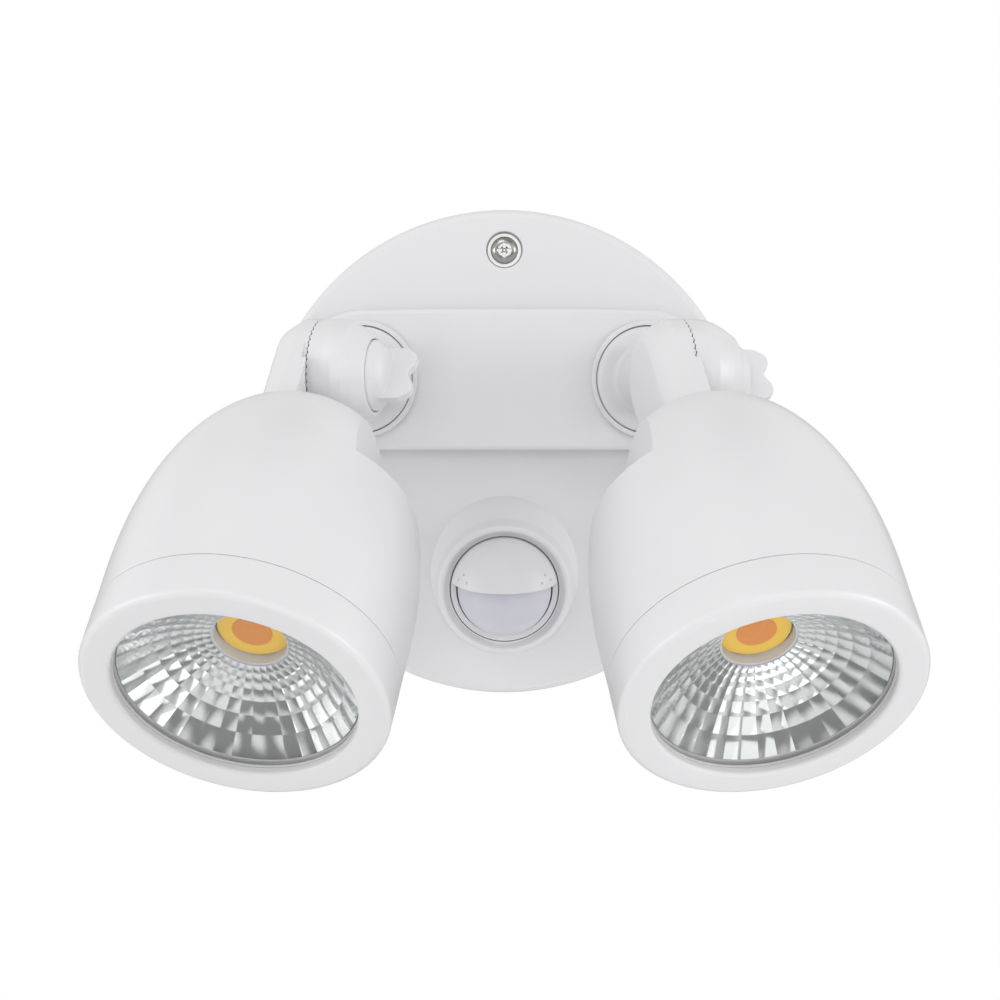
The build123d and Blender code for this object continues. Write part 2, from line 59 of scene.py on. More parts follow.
camera_data = bpy.data.cameras.new("camera")
camera_data.sensor_width = 36
camera_data.lens = CAMERA_LENS
camera_data.shift_x = PICTURE_SHIFT
camera = bpy.data.objects.new("camera", camera_data)
camera.location = (0, -CAMERA_DISTANCE, CAMERA_HEIGHT)
camera.rotation_euler = (pi / 2, 0, 0)
bpy.context.scene.collection.objects.link(camera)
bpy.context.scene.camera = camera


def soft_lamp(name, place, target, width, brightness):
    """A rectangular soft lamp that the camera doesn't see."""
    data = bpy.data.lights.new(name, "AREA")
    data.shape = "RECTANGLE"
    data.size = width
    data.size_y = width * 0.7
    data.energy = brightness * pi * data.size * data.size_y
    lamp = bpy.data.objects.new(name, data)
    lamp.location = place
    lamp.rotation_euler = (Vector(target) - Vector(place)).to_track_quat("-Z", "Y").to_euler()
    lamp.visible_camera = False
    bpy.context.scene.collection.objects.link(lamp)


soft_lamp("key", (-0.5, -1.1, 1.3), (0, -0.05, 0), 0.9, 1.8)
soft_lamp("front", (0.1, -1.7, 0.15), (0, -0.05, 0), 1.0, 1.6)
soft_lamp("fill_left", (-1.5, -0.55, 0.1), (0, -0.05, -0.02), 0.9, 3.1)
soft_lamp("fill_right", (1.6, -0.5, 0.2), (0, -0.05, 0), 0.9, 4.0)
soft_lamp("low_box_right", (0.14, -0.234, -0.36), (0.08, -0.1, -0.06), 0.22, 0.9)
soft_lamp("low_box_left", (-0.62, -0.09, -0.34), (-0.08, -0.1, -0.06), 0.3, 0.9)
soft_lamp("low_box_front", (0.34, -0.52, -0.295), (-0.02, -0.1, -0.06), 0.3, 0.9)


SURROUND_SEEN, SURROUND_LIGHT = 1.0, 0.86
SCREEN_DARKEST, SCREEN_LIGHTEST = 0.16, 0.8     # greys of the screens that mirrors and glass show

world = bpy.data.worlds.new("surround")
bpy.context.scene.world = world
world.use_nodes = True
tree = world.node_tree
surround = tree.nodes["Background"]
surround.inputs["Color"].default_value = (1, 1, 1, 1)
ray = tree.nodes.new("ShaderNodeLightPath")
in_mirror = tree.nodes.new("ShaderNodeMath")
in_mirror.operation = "MAXIMUM"
direction = tree.nodes.new("ShaderNodeTexCoord")
screens = tree.nodes.new("ShaderNodeTexNoise")
screens.inputs["Scale"].default_value = 2.0
screens.inputs["Detail"].default_value = 0.0
greys = tree.nodes.new("ShaderNodeMapRange")
greys.inputs["From Min"].default_value = 0.38
greys.inputs["From Max"].default_value = 0.62
greys.inputs["To Min"].default_value = SCREEN_DARKEST
greys.inputs["To Max"].default_value = SCREEN_LIGHTEST
lit = tree.nodes.new("ShaderNodeMix")
lit.inputs["A"].default_value = SURROUND_LIGHT
seen = tree.nodes.new("ShaderNodeMix")
seen.inputs["B"].default_value = SURROUND_SEEN
tree.links.new(ray.outputs["Is Glossy Ray"], in_mirror.inputs[0])
tree.links.new(ray.outputs["Is Transmission Ray"], in_mirror.inputs[1])
tree.links.new(direction.outputs["Generated"], screens.inputs["Vector"])
tree.links.new(screens.outputs["Fac"], greys.inputs["Value"])
tree.links.new(greys.outputs["Result"], lit.inputs["B"])
tree.links.new(in_mirror.outputs[0], lit.inputs["Factor"])
tree.links.new(lit.outputs["Result"], seen.inputs["A"])
tree.links.new(ray.outputs["Is Camera Ray"], seen.inputs["Factor"])
tree.links.new(seen.outputs["Result"], surround.inputs["Strength"])
bpy.context.scene.view_settings.view_transform = "Standard"

bpy.ops.object.select_all(action="DESELECT")
bpy.ops.mesh.primitive_plane_add(size=FLOOR_SIZE, location=(0, 0, FLOOR_HEIGHT))
floor = bpy.context.object
floor.name = "floor"
bpy.ops.object.transform_apply(location=True)
pale = bpy.data.materials.new("pale_floor")
pale.use_nodes = True
pale.node_tree.nodes["Principled BSDF"].inputs["Base Color"].default_value = (0.8, 0.8, 0.8, 1)
pale.node_tree.nodes["Principled BSDF"].inputs["Roughness"].default_value = 0.6
floor.data.materials.append(pale)
floor.visible_glossy = False
floor.visible_transmission = False


# --- Bracket, gaskets and the closed inside of the base --------------------------------------------
# Pressed zinc-plated bracket, black rubber gasket and grommet, white rear plate with its screws, and
# the terminal block, driver and boards that they close in. They keep their CAD solids.
def grain_group():
    """Fine grain for moulded, cast and plated surfaces: a height and a slow tone, both 0 to 1."""
    group = bpy.data.node_groups.new("surface_grain", "ShaderNodeTree")
    for name, value in (("Grains per Metre", 2500.0), ("Stretch", 1.0)):
        socket = group.interface.new_socket(name, in_out="INPUT", socket_type="NodeSocketFloat")
        socket.default_value = value
    for name in ("Height", "Tone"):
        group.interface.new_socket(name, in_out="OUTPUT", socket_type="NodeSocketFloat")
    start = group.nodes.new("NodeGroupInput")
    end = group.nodes.new("NodeGroupOutput")
    place = group.nodes.new("ShaderNodeTexCoord")
    stretch = group.nodes.new("ShaderNodeVectorMath")
    stretch.operation = "MULTIPLY"
    axes = group.nodes.new("ShaderNodeCombineXYZ")
    axes.inputs["X"].default_value = 1
    axes.inputs["Y"].default_value = 1
    fine = group.nodes.new("ShaderNodeTexNoise")
    fine.inputs["Detail"].default_value = 3
    slow = group.nodes.new("ShaderNodeTexNoise")
    slow.inputs["Scale"].default_value = 28
    slow.inputs["Detail"].default_value = 2
    link = group.links.new
    link(start.outputs["Stretch"], axes.inputs["Z"])
    link(place.outputs["Object"], stretch.inputs[0])
    link(axes.outputs["Vector"], stretch.inputs[1])
    link(stretch.outputs["Vector"], fine.inputs["Vector"])
    link(start.outputs["Grains per Metre"], fine.inputs["Scale"])
    link(place.outputs["Object"], slow.inputs["Vector"])
    link(fine.outputs["Fac"], end.inputs["Height"])
    link(slow.outputs["Fac"], end.inputs["Tone"])
    return group


surface_grain = grain_group()


def finish(name, colour, roughness, metallic=0.0, grains=2500.0, stretch=1.0, bump=0.05, uneven=0.04,
           rough_range=0.06, **sockets):
    """A material with grain: colour and roughness wander slowly, and the grain lifts the surface."""
    material = bpy.data.materials.new(name)
    material.use_nodes = True
    tree = material.node_tree
    shader = tree.nodes["Principled BSDF"]
    shader.inputs["Metallic"].default_value = metallic
    for socket, value in sockets.items():
        shader.inputs[socket.replace("_", " ")].default_value = value
    grain = tree.nodes.new("ShaderNodeGroup")
    grain.node_tree = surface_grain
    grain.inputs["Grains per Metre"].default_value = grains
    grain.inputs["Stretch"].default_value = stretch
    tint = tree.nodes.new("ShaderNodeMix")
    tint.data_type = "RGBA"
    tint.inputs["A"].default_value = (*[channel * (1 - uneven) for channel in colour], 1)
    tint.inputs["B"].default_value = (*[min(1, channel * (1 + uneven)) for channel in colour], 1)
    gloss = tree.nodes.new("ShaderNodeMapRange")
    gloss.inputs["To Min"].default_value = max(0, roughness - rough_range)
    gloss.inputs["To Max"].default_value = roughness + rough_range
    lift = tree.nodes.new("ShaderNodeBump")
    lift.inputs["Strength"].default_value = bump
    lift.inputs["Distance"].default_value = 0.0002
    link = tree.links.new
    link(grain.outputs["Tone"], tint.inputs["Factor"])
    link(tint.outputs["Result"], shader.inputs["Base Color"])
    link(grain.outputs["Tone"], gloss.inputs["Value"])
    link(gloss.outputs["Result"], shader.inputs["Roughness"])
    link(grain.outputs["Height"], lift.inputs["Height"])
    link(lift.outputs["Normal"], shader.inputs["Normal"])
    return material


def coat(material, *names):
    """Gives CAD nodes their material."""
    for name in names:
        nodes[name].data.materials.clear()
        nodes[name].data.materials.append(material)


zinc = finish("zinc_plate", (0.62, 0.64, 0.68), 0.32, metallic=1.0, grains=900, stretch=0.15, bump=0.08)
black_rubber = finish("black_rubber", (0.025, 0.025, 0.026), 0.62, grains=1800, bump=0.12)
white_moulding = finish("white_moulding", (0.67, 0.67, 0.68), 0.42, grains=3200, bump=0.05, uneven=0.012)
steel = finish("stainless_steel", (0.5, 0.5, 0.49), 0.26, metallic=1.0, grains=2500, stretch=0.2, bump=0.05)
grey_silicone = finish("grey_silicone", (0.55, 0.55, 0.555), 0.4, grains=1500, bump=0.05)
pale_nylon = finish("pale_nylon", (0.72, 0.71, 0.66), 0.45, grains=2000)
brass = finish("brass", (0.78, 0.58, 0.26), 0.28, metallic=1.0, grains=2200, bump=0.05)
grey_plastic = finish("grey_plastic", (0.2, 0.2, 0.205), 0.45, grains=2600, bump=0.1)
green_board = finish("green_board", (0.02, 0.16, 0.06), 0.3, grains=700, bump=0.1, uneven=0.3)
nickel = finish("nickel_can", (0.66, 0.64, 0.6), 0.22, metallic=1.0, grains=2400)

coat(zinc, "wall_bracket")
coat(black_rubber, "wall_gasket", "cable_grommet")
coat(white_moulding, "rear_plate")
coat(steel, "rear_plate_screws")
coat(grey_silicone, "rear_plate_seal")
coat(pale_nylon, "terminal_block")
coat(brass, "terminal_screws")
coat(grey_plastic, "driver_case", "lux_dial", "time_dial", "range_dial")
coat(green_board, "driver_board", "sensor_board", "control_board")
coat(nickel, "pyro_detector")


# --- Base moulding ---------------------------------------------------------------------------------
# White ABS injection moulding that carries everything: a round shell with a raised band for the arms,
# a rim round each arm's seat, a volcano-shaped collar for the sensor and a sunk boss for the screw.
def plane_of(origin, x_axis, z_axis):
    """The matrix that takes a piece from where it is modelled to its place, both in millimetres."""
    axes = Matrix((x_axis, Vector(z_axis).cross(Vector(x_axis)), z_axis)).transposed().to_4x4()
    return Matrix.Translation(origin) @ axes


def rounded(*corners):
    """Points of an outline from its corners (x, y) or (x, y, rounding radius)."""
    points = []
    for i, corner in enumerate(corners):
        here = Vector(corner[:2])
        if len(corner) == 2:
            points.append(here)
            continue
        before = (Vector(corners[i - 1][:2]) - here).normalized()
        after = (Vector(corners[(i + 1) % len(corners)][:2]) - here).normalized()
        half = before.angle(after) / 2
        centre = here + (before + after).normalized() * corner[2] / sin(half)
        first = here + before * corner[2] / tan(half) - centre
        last = here + after * corner[2] / tan(half) - centre
        sweep = -first.angle_signed(last)
        steps = max(3, round(abs(sweep) / radians(11)))
        points += [centre + Matrix.Rotation(sweep * step / steps, 2) @ first for step in range(steps + 1)]
    return points


def turned(name, outline, sides=144):
    """A turned piece: a circle extruded from ring to ring of its outline of (radius, height)."""
    rings = [point for point in outline if point[0] > 0.001]
    closed = len(rings) == len(outline)
    pointed = not closed and abs(outline[-1][1] - rings[-1][1]) > 0.001
    bpy.ops.object.select_all(action="DESELECT")
    radius, height = rings[0]
    bpy.ops.mesh.primitive_circle_add(vertices=sides, radius=radius, location=(0, 0, height))
    piece = bpy.context.object
    piece.name = name
    bpy.ops.object.transform_apply(location=True)
    bpy.ops.object.mode_set(mode="EDIT")
    bpy.ops.mesh.select_all(action="SELECT")
    if not closed:
        bpy.ops.mesh.edge_face_add()
        bpy.ops.mesh.select_all(action="SELECT")
    for next_radius, next_height in rings[1:] + rings[:1] * closed:
        bpy.ops.mesh.extrude_region_move(TRANSFORM_OT_translate={"value": (0, 0, next_height - height)})
        bpy.ops.transform.resize(value=(next_radius / radius, next_radius / radius, 1))
        radius, height = next_radius, next_height
    if pointed:
        bpy.ops.mesh.extrude_region_move(TRANSFORM_OT_translate={"value": (0, 0, outline[-1][1] - height)})
        bpy.ops.mesh.merge(type="CENTER")
    bpy.ops.mesh.select_all(action="SELECT")
    bpy.ops.mesh.remove_doubles(threshold=0.0001)
    bpy.ops.mesh.normals_make_consistent(inside=False)
    bpy.ops.object.mode_set(mode="OBJECT")
    return piece


def prism(name, outline, low, high):
    """A straight bar: its outline filled, and extruded from low to high."""
    bpy.ops.object.select_all(action="DESELECT")
    bpy.ops.mesh.primitive_circle_add(vertices=len(outline))
    piece = bpy.context.object
    piece.name = name
    for vertex, (x, y) in zip(piece.data.vertices, outline):
        vertex.co = (x, y, low)
    bpy.ops.object.mode_set(mode="EDIT")
    bpy.ops.mesh.select_all(action="SELECT")
    bpy.ops.mesh.edge_face_add()
    bpy.ops.mesh.extrude_region_move(TRANSFORM_OT_translate={"value": (0, 0, high - low)})
    bpy.ops.mesh.select_all(action="SELECT")
    bpy.ops.mesh.normals_make_consistent(inside=False)
    bpy.ops.object.mode_set(mode="OBJECT")
    return piece


def change(piece, kind, **settings):
    """Adds a modifier to a piece and applies it."""
    modifier = piece.modifiers.new(kind.lower(), kind)
    for name, value in settings.items():
        setattr(modifier, name, value)
    bpy.ops.object.select_all(action="DESELECT")
    bpy.context.view_layer.objects.active = piece
    bpy.ops.object.modifier_apply(modifier=modifier.name)


def is_closed(piece):
    """Whether each edge lies between two faces."""
    faces_at = Counter(edge for face in piece.data.polygons for edge in face.edge_keys)
    return set(faces_at.values()) == {2}


def combine(piece, tool, operation, place=None):
    """Adds the tool to the piece, or cuts it away, and throws the tool away. A boolean on a fine mesh
    now and then leaves it torn, and comes out whole when it is done over."""
    if place:
        tool.data.transform(place)
    before = piece.data.copy()
    for attempt in range(4):
        piece.data = before.copy()
        change(piece, "BOOLEAN", operation=operation, solver="EXACT", object=tool)
        change(piece, "WELD", merge_threshold=0.0001)
        if is_closed(piece):
            break
    bpy.data.objects.remove(tool)
    bpy.data.meshes.remove(before)


def settle(piece, body, material, slot, *replaced, place=None, angle=30):
    """Puts a finished piece at its place in metres, with its finish, on its body."""
    if place:
        piece.data.transform(place)
    piece.data.transform(Matrix.Scale(0.001, 4))
    piece.data.materials.clear()
    piece.data.materials.append(material)
    bpy.ops.object.select_all(action="DESELECT")
    piece.select_set(True)
    bpy.context.view_layer.objects.active = piece
    bpy.ops.object.shade_smooth_by_angle(angle=radians(angle))
    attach(piece, body)
    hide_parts(*replaced)


TILT = 48.4                 # degrees that the lamps point down
HINGE_TO_FACE = 139.5
WING_LEAN = -32             # degrees that the wing nut's wing leans out at the top


def lamp_places(side):
    """Where one lamp's pieces sit, from the model's own joints."""
    seat = Vector(joints[f"{side}_arm_turn"]["pos_m"]) * 1000
    hinge = Vector(joints[f"{side}_head_tilt"]["pos_m"]) * 1000
    across = Vector(joints[f"{side}_head_tilt"]["axis"])
    out = (hinge - seat).normalized()
    up = Vector((0, 0, 1))
    beam = out * cos(radians(TILT)) - up * sin(radians(TILT))
    lean = up * cos(radians(WING_LEAN)) + out * sin(radians(WING_LEAN))
    return {"seat": plane_of(seat, across, out), "arm": plane_of(hinge, -out, across),
            "ear": plane_of(hinge, beam, across), "wing": plane_of(hinge, lean, across),
            "head": plane_of(hinge + beam * HINGE_TO_FACE, across, -beam)}


SIDES = ("left", "right")
places = {side: lamp_places(side) for side in SIDES}
BASE = plane_of((0, 0, 0), (1, 0, 0), (0, -1, 0))     # stands a piece up, its heights out from the wall
sensor_joint = joints["hood_turn"]
EYE = plane_of(Vector(sensor_joint["pos_m"]) * 1000, (1, 0, 0), sensor_joint["axis"])

PLATE_R, PLATE_FRONT = 85, 16
BAND_LOW, BAND_HIGH = 0.3, 49.4
SEAT_X, SEAT_DEPTH, PAN = 49.8, 24.0, 15.8     # each arm's seat looks PAN degrees outwards
MOULDING_WALL = 2.8
LEDGE = 4.8                                    # where the rear plate rests, from the wall


def band(inset, edge):
    """The raised band: a slot-shaped block with a flat middle, sloping to each arm's seat."""
    slope = tan(radians(PAN))
    shelf_x = 23
    shelf = SEAT_DEPTH + (SEAT_X - shelf_x) * slope - inset
    end_x = SEAT_X + 30
    end = SEAT_DEPTH - 30 * slope - inset
    low = LEDGE if inset else 9
    profile = rounded((-end_x, low), (end_x, low), (end_x, end), (shelf_x, shelf, 45),
                      (-shelf_x, shelf, 45), (-end_x, end))
    block = prism("band", profile, -60, 60)
    block.data.transform(BASE)
    half = (BAND_HIGH - BAND_LOW) / 2 - inset
    middle = (BAND_HIGH + BAND_LOW) / 2
    ends = []
    for sign in (1, -1):
        for step in range(37):
            angle = radians(-90 + 5 * step) + (0 if sign > 0 else pi)
            ends.append((sign * SEAT_X + half * cos(angle), middle + half * sin(angle)))
    slot = prism("slot", ends, 0, 60)
    combine(block, slot, "INTERSECT")
    if edge:
        change(block, "BEVEL", width=edge, segments=4, limit_method="ANGLE", angle_limit=radians(50))
    return block


# The outside: round shell, band, collar round the sensor and a rim round each seat.
plate = rounded((0, 2), (PLATE_R, 2), (PLATE_R, PLATE_FRONT, 3), (0, PLATE_FRONT))
base = turned("base_moulding", plate, 192)
combine(base, band(0, 1.7), "UNION")
collar = rounded((0, -14), (30.6, -14), (30.6, -12.5), (24.6, -3.2, 6), (23.2, 1.5, 1.2), (21.4, 1.9, 1.0),
                 (19.6, 0), (0, 0))
base.data.transform(BASE)
combine(base, turned("collar", collar, 160), "UNION", EYE)
SEAT_RIM, SEAT_FLOOR = 1.5, -1.6                # above and below the band's slope
for side in SIDES:
    rim = rounded((0, -3), (20.6, -3), (20.6, SEAT_RIM, 0.5), (18, SEAT_RIM), (0, SEAT_RIM))
    combine(base, turned("seat_rim", rim), "UNION", places[side]["seat"])

# The inside: one even wall, with a cup behind the sensor and bosses for the screws.
CAVITY_R, LEDGE_R = 81.2, 83.2
ceiling = PLATE_FRONT - MOULDING_WALL
cavity = [(0, -2), (LEDGE_R, -2), (LEDGE_R, LEDGE), (CAVITY_R, LEDGE), (CAVITY_R, ceiling), (0, ceiling)]
combine(base, turned("cavity", cavity, 192), "DIFFERENCE", BASE)
combine(base, band(MOULDING_WALL, 0), "DIFFERENCE", BASE)
SENSOR_BORE = 17.4
cup = [(21.5, -9.4), (21.5, -1), (SENSOR_BORE, -1), (SENSOR_BORE, -9.4)]
combine(base, turned("sensor_cup", cup), "UNION", EYE)
SCREW_HEIGHT = 70.8
screw_place = BASE @ Matrix.Translation((0, SCREW_HEIGHT, 0))
screw_boss = [(0, LEDGE - 0.6), (8.5, LEDGE - 0.6), (8.5, 15), (0, 15)]
combine(base, turned("screw_boss", screw_boss), "UNION", screw_place)
PLATE_SCREW_CIRCLE = 72
for corner in range(4):
    turn = Matrix.Rotation(radians(45 + 90 * corner), 4, "Z")
    spot = BASE @ turn @ Matrix.Translation((PLATE_SCREW_CIRCLE, 0, 0))
    boss = turned("plate_boss", [(0, LEDGE), (4.2, LEDGE), (4.2, 14), (0, 14)], 48)
    combine(base, boss, "UNION", spot)
    hole = turned("plate_hole", [(0, 4), (1.25, 4), (1.25, 12), (0, 12)], 24)
    combine(base, hole, "DIFFERENCE", spot)

# The recess for the three adjuster dials, underneath.
DIAL_FLOOR, DIAL_X, DIAL_DEPTH = -80.6, (-14, 0, 14), 9.9
SHELF_R = 84
shelf_arc = [(SHELF_R * sin(radians(a)), -SHELF_R * cos(radians(a))) for a in range(18, -19, -2)]
combine(base, prism("dial_shelf", [(-26, -78), (26, -78)] + shelf_arc, LEDGE, 15), "UNION", BASE)
recess = [(-24, DIAL_FLOOR), (24, DIAL_FLOOR), (24, -90), (-24, -90)]
combine(base, prism("dial_recess", recess, 6.2, 13.6), "DIFFERENCE", BASE)
for x in DIAL_X:
    bore = turned("dial_bore", [(0, -6), (1.7, -6), (1.7, 6), (0, 6)], 24)
    combine(base, bore, "DIFFERENCE", Matrix.Translation((x, -DIAL_DEPTH, DIAL_FLOOR)))

# The screw's counterbore, the arms' seats and the sensor's bore, each with a soft mouth.
SCREW_HOLE_R, COUNTERBORE_R, SCREW_SEAT = 2.8, 6.4, 12
counterbore = rounded((0, -1), (SCREW_HOLE_R, -1), (SCREW_HOLE_R, SCREW_SEAT), (COUNTERBORE_R, SCREW_SEAT),
                      (COUNTERBORE_R, PLATE_FRONT - 0.01, 0.5), (9, PLATE_FRONT + 0.01), (9, 20), (0, 20))
combine(base, turned("counterbore", counterbore, 96), "DIFFERENCE", screw_place)
SEAT_HOLE_R, SEAT_R = 8.3, 18.9
for side in SIDES:
    pocket = rounded((0, -8), (SEAT_HOLE_R, -8), (SEAT_HOLE_R, SEAT_FLOOR), (SEAT_R, SEAT_FLOOR),
                     (SEAT_R, SEAT_RIM - 0.01, 0.4), (20, SEAT_RIM + 0.01), (20, 4), (0, 4))
    combine(base, turned("seat_pocket", pocket), "DIFFERENCE", places[side]["seat"])
HOOD_BORE, HOOD_SHELF = 19.2, -6.2
sensor_bore = [(0, -14), (SENSOR_BORE, -14), (SENSOR_BORE, HOOD_SHELF), (HOOD_BORE, HOOD_SHELF),
               (HOOD_BORE, 8), (0, 8)]
combine(base, turned("sensor_bore", sensor_bore, 160), "DIFFERENCE", EYE)
settle(base, "base", white_moulding, "white_plastic", "base_cover", angle=32)
change(base, "WEIGHTED_NORMAL", keep_sharp=True)


# --- Fixing screw ----------------------------------------------------------------------------------
# Stainless cross-head screw that clamps the base to the wall bracket, sunk in its counterbore over a
# plain washer.
coat(steel, "fixing_screw", "fixing_screw_washer")


# --- Motion sensor ---------------------------------------------------------------------------------
# Milky polyethylene dome that focuses body heat on the detector, and the white hood that turns about
# it. The hood's half dome shades the lens from above and has three finger dimples at each end.
milky_lens = finish("milky_lens", (0.57, 0.57, 0.63), 0.3, grains=400, bump=0.02, uneven=0.01,
                    Subsurface_Weight=0.2, Subsurface_Scale=0.001)
coat(milky_lens, "sensor_lens")
coat(white_moulding, "sensor_hood")


# --- Arms ------------------------------------------------------------------------------------------
# Cast aluminium elbows, powder coated: a flange that turns in the seat, a short neck and half of the
# toothed hinge, hollow at its outer end for the wing nut. Lock nut, washer and seal sit behind.
STEM_R, ARM_FLANGE_R, NECK_R = 8, 18.6, 11.7
ARM_REACH, KNUCKLE_R = 38.4, 19.3              # to the hinge's axis, and the radius of its halves
SPLIT, FACE_GAP = -1.0, 1.2                    # where the teeth meet, and from there to each face
TEETH, TOOTH_DEPTH, TOOTH_BORE = 48, 0.45, 13
SPOKES = 3                                     # steps per tooth
POCKET_R, STUD_HOLE_R = 12.4, 3.1


def tooth_ring(face, tip):
    """Ring of radial clamping teeth whose tips stand at one height, over the flat hinge face."""
    into_body = 1 if face > tip else -1
    root = tip + TOOTH_DEPTH * into_body
    foot = face + 0.5 * into_body
    outline = [(KNUCKLE_R, tip), (TOOTH_BORE, tip), (TOOTH_BORE, foot), (KNUCKLE_R, foot)]
    teeth = turned("teeth", outline, TEETH * SPOKES)
    for vertex in teeth.data.vertices:
        spoke = round(atan2(vertex.co.y, vertex.co.x) * TEETH * SPOKES / (2 * pi))
        if spoke % SPOKES == 0 and abs(vertex.co.z - tip) < 0.01:
            vertex.co.z = root
    return teeth


def cast(voxel, passes, piece, *others):
    """Runs overlapping shapes into one skin with soft edges and inner corners, as casting does."""
    bpy.ops.object.select_all(action="DESELECT")
    for shape in (piece, *others):
        shape.select_set(True)
    bpy.context.view_layer.objects.active = piece
    if others:
        bpy.ops.object.join()
    change(piece, "REMESH", mode="VOXEL", voxel_size=voxel)
    change(piece, "SMOOTH", factor=0.5, iterations=passes)


powder_coat = finish("powder_coat", (0.67, 0.67, 0.68), 0.36, grains=1700, bump=0.1, uneven=0.012,
                     Coat_Weight=0.15, Coat_Roughness=0.25)
for side in SIDES:
    seat, hinge = places[side]["seat"], places[side]["arm"]
    face = SPLIT + FACE_GAP
    neck_end = ARM_REACH - KNUCKLE_R - 1.2
    flange = rounded((0, -15.5), (STEM_R, -15.5), (STEM_R, -1.5), (ARM_FLANGE_R, -1.5),
                     (ARM_FLANGE_R, 1.3, 0.6), (17.0, 1.7, 0.3), (NECK_R + 1.2, 1.7), (NECK_R, 2.9),
                     (NECK_R, neck_end), (0, neck_end))
    arm = turned(f"{side}_arm_casting", flange)
    arm.data.transform(seat)
    inner_neck = turned("inner_neck", [(0, 5), (NECK_R, 5), (NECK_R, ARM_REACH), (0, ARM_REACH)])
    half_space = prism("half_space", [(face, -40), (60, -40), (60, 40), (face, 40)], 0, 60)
    combine(inner_neck, half_space, "INTERSECT")
    inner_neck.data.transform(seat)
    domed = rounded((0, face), (KNUCKLE_R, face), (KNUCKLE_R, 9, 16), (13.6, 17.4, 0.8), (12, 17.4),
                    (0, 17.4))
    barrel = turned("barrel", domed)
    barrel.data.transform(hinge)
    cast(0.4, 3, arm, inner_neck, barrel)
    pocket = rounded((0, 10), (POCKET_R, 10), (POCKET_R, 17.39, 0.4), (14, 17.41), (14, 40), (0, 40))
    combine(arm, turned("nut_pocket", pocket), "DIFFERENCE", hinge)
    stud_hole = [(0, -5), (STUD_HOLE_R, -5), (STUD_HOLE_R, 12), (0, 12)]
    combine(arm, turned("stud_hole", stud_hole, 32), "DIFFERENCE", hinge)
    combine(arm, tooth_ring(face, SPLIT + 0.05), "UNION", hinge)
    settle(arm, f"{side}_arm", powder_coat, "white_powder_coat", f"{side}_arm")
    coat(steel, f"{side}_arm_nut", f"{side}_arm_washer")
    coat(black_rubber, f"{side}_arm_seal")


# --- Wing nuts -------------------------------------------------------------------------------------
# White nylon nuts that clamp the hinges: a domed disc with one flat wing across it, moulded round a
# brass hexagon insert.
def copy_of(piece, name):
    """One more piece of the same shape, with a mesh of its own."""
    twin = piece.copy()
    twin.data = piece.data.copy()
    twin.name = name
    bpy.context.scene.collection.objects.link(twin)
    return twin


HALF_BLADE = 1.6
knob = rounded((0, 10.2), (12.1, 10.2), (12.1, 17.6, 1.2), (8.6, 22.4, 6), (0, 23.2))
nut = turned("wing_knob", knob, 96)
wing = rounded((-10.2, 12), (10.2, 12), (10.2, 27, 3), (7.4, 31.8, 3), (3.2, 31.0, 2), (0, 28.3, 2.6),
               (-3.2, 31.0, 2), (-7.4, 31.8, 3), (-10.2, 27, 3))
blade = prism("blade", wing, -HALF_BLADE, HALF_BLADE)
blade.data.transform(BASE)
cast(0.3, 1, nut, blade)
combine(nut, turned("insert_pocket", [(0, 9), (5.83, 9), (5.83, 16.6), (0, 16.6)], 6), "DIFFERENCE")
for side in SIDES:
    settle(copy_of(nut, f"{side}_wing_knob"), f"{side}_wing_nut", white_moulding, "white_plastic",
           f"{side}_wing_nut", place=places[side]["wing"])
    coat(brass, f"{side}_wing_nut_insert")
bpy.data.objects.remove(nut)


# --- Lamp housings ---------------------------------------------------------------------------------
# Cast aluminium shells, powder coated: bullet shaped, with a flat on the inner side, and an ear that
# is the other half of the toothed hinge, with the steel stud cast into it.
HEAD_R, HEAD_SEAM, HEAD_SHOULDER, HEAD_TIP = 50.4, 16.5, 30.0, 118.3
HEAD_WALL, ROUNDNESS = 3.0, 2.2
SPIGOT, SPIGOT_R, SPIGOT_BORE = 10.9, 46.8, 44.2    # the step that the bezel screws on to
GUARD_R = 21.4              # the ear steps up outside this radius, round the arm's half
EAR_LENGTH = 42
HEAD_SIDES = 160


def bullet(name, radius, front, tip, sides=HEAD_SIDES):
    """Straight to the shoulder, then a rounded end; heights run backwards from the face."""
    outline = [(0, front), (radius, front), (radius, HEAD_SHOULDER)]
    for step in range(1, 30):
        angle = pi / 2 * step / 30
        share = 2 / ROUNDNESS
        outline.append((radius * cos(angle) ** share,
                        HEAD_SHOULDER + (tip - HEAD_SHOULDER) * sin(angle) ** share))
    return turned(name, outline + [(0, tip)], sides)


def facet(side, inset):
    """The wedge that makes the flat on the housing's inner side."""
    start, near, slope, rear = 77.0 - inset, 31.6 - inset, 0.24, 130
    corners = [(near, start), (70, start), (70, rear), (near - slope * (rear - start), rear)]
    wedge = prism("facet", corners, -70, 70)
    wedge.data.transform(Matrix(((1, 0, 0, 0), (0, 0, -1, 0), (0, 1, 0, 0), (0, 0, 0, 1))))
    if side == "right":
        wedge.data.transform(Matrix.Scale(-1, 4, (1, 0, 0)))
        wedge.data.flip_normals()
    return wedge


